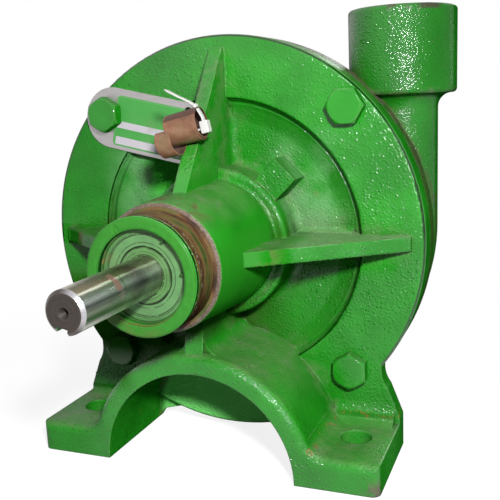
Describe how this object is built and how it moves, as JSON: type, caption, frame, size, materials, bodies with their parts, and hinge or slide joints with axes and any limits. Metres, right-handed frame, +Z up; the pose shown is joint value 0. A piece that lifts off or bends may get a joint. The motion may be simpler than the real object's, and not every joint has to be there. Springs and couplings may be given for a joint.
{
  "type": "centrifugal pump",
  "caption": "Foot mounted end suction centrifugal pump with a bare keyed drive shaft, a closed impeller and a vertical threaded discharge.",
  "frame": {"origin": "on the base plane, midway between the two foot bolt holes", "axes": "+Z up, the shaft along Y with its drive end towards -Y and its suction towards +Y, the discharge on the +X side"},
  "size_m": [0.248, 0.269, 0.2534],
  "materials": {
    "bearing_frame": "gloss enamel over a sand casting",
    "volute_casing": "gloss enamel over a sand casting",
    "casing_gasket": "pressed fibre, painted over at its edge",
    "casing_bolts": "gloss enamel, worn at the corners",
    "pump_shaft": "ground",
    "retaining_ring": "spring steel, painted over",
    "front_outer_race": "ground, with overspray",
    "front_inner_race": "ground, with overspray",
    "front_cage": "pressed",
    "front_balls": "polished",
    "front_shields": "pressed, with overspray",
    "rear_outer_race": "ground",
    "rear_inner_race": "ground",
    "rear_cage": "pressed",
    "rear_balls": "polished",
    "rear_shields": "pressed",
    "shaft_circlip": "phosphated",
    "slinger": "matte",
    "seat_cup": "matte",
    "seal_seat": "lapped ceramic",
    "seal_face": "lapped carbon",
    "seal_bellows": "matte",
    "seal_spring": "drawn wire",
    "impeller": "as cast",
    "impeller_key": "drawn",
    "impeller_washer": "zinc plated",
    "impeller_nut": "zinc plated",
    "drain_plug": "gloss enamel",
    "name_plate": "printed sheet",
    "curled_strip": "aged tape",
    "cable_tie": "nylon"
  },
  "bodies": {
    "housing": {"bearing_frame": "bearing_frame", "volute_casing": "volute_casing", "casing_gasket": "casing_gasket", "casing_bolts": "casing_bolts", "retaining_ring": "retaining_ring", "front_outer_race": "front_outer_race", "front_shields": "front_shields", "rear_outer_race": "rear_outer_race", "rear_shields": "rear_shields", "seat_cup": "seat_cup", "seal_seat": "seal_seat", "drain_plug": "drain_plug", "name_plate": "name_plate", "curled_strip": "curled_strip", "cable_tie": "cable_tie"},
    "rotor": {"pump_shaft": "pump_shaft", "front_inner_race": "front_inner_race", "rear_inner_race": "rear_inner_race", "shaft_circlip": "shaft_circlip", "slinger": "slinger", "seal_face": "seal_face", "seal_bellows": "seal_bellows", "seal_spring": "seal_spring", "impeller": "impeller", "impeller_key": "impeller_key", "impeller_washer": "impeller_washer", "impeller_nut": "impeller_nut"},
    "front_cage_set": {"front_cage": "front_cage", "front_balls": "front_balls"},
    "rear_cage_set": {"rear_cage": "rear_cage", "rear_balls": "rear_balls"}
  },
  "joints": [
    {"name": "shaft_spin", "type": "hinge", "parent": "housing", "child": "rotor", "pos_m": [0, 0, 0.124], "axis": [0, 1, 0], "continuous": true},
    {"name": "front_cage_spin", "type": "hinge", "parent": "housing", "child": "front_cage_set", "pos_m": [0, 0, 0.124], "axis": [0, 1, 0], "continuous": true},
    {"name": "rear_cage_spin", "type": "hinge", "parent": "housing", "child": "rear_cage_set", "pos_m": [0, 0, 0.124], "axis": [0, 1, 0], "continuous": true}
  ],
  "couplings": [
    {"joint": "front_cage_spin", "follows": "shaft_spin", "ratio": 0.3815},
    {"joint": "rear_cage_spin", "follows": "shaft_spin", "ratio": 0.3815}
  ]
}
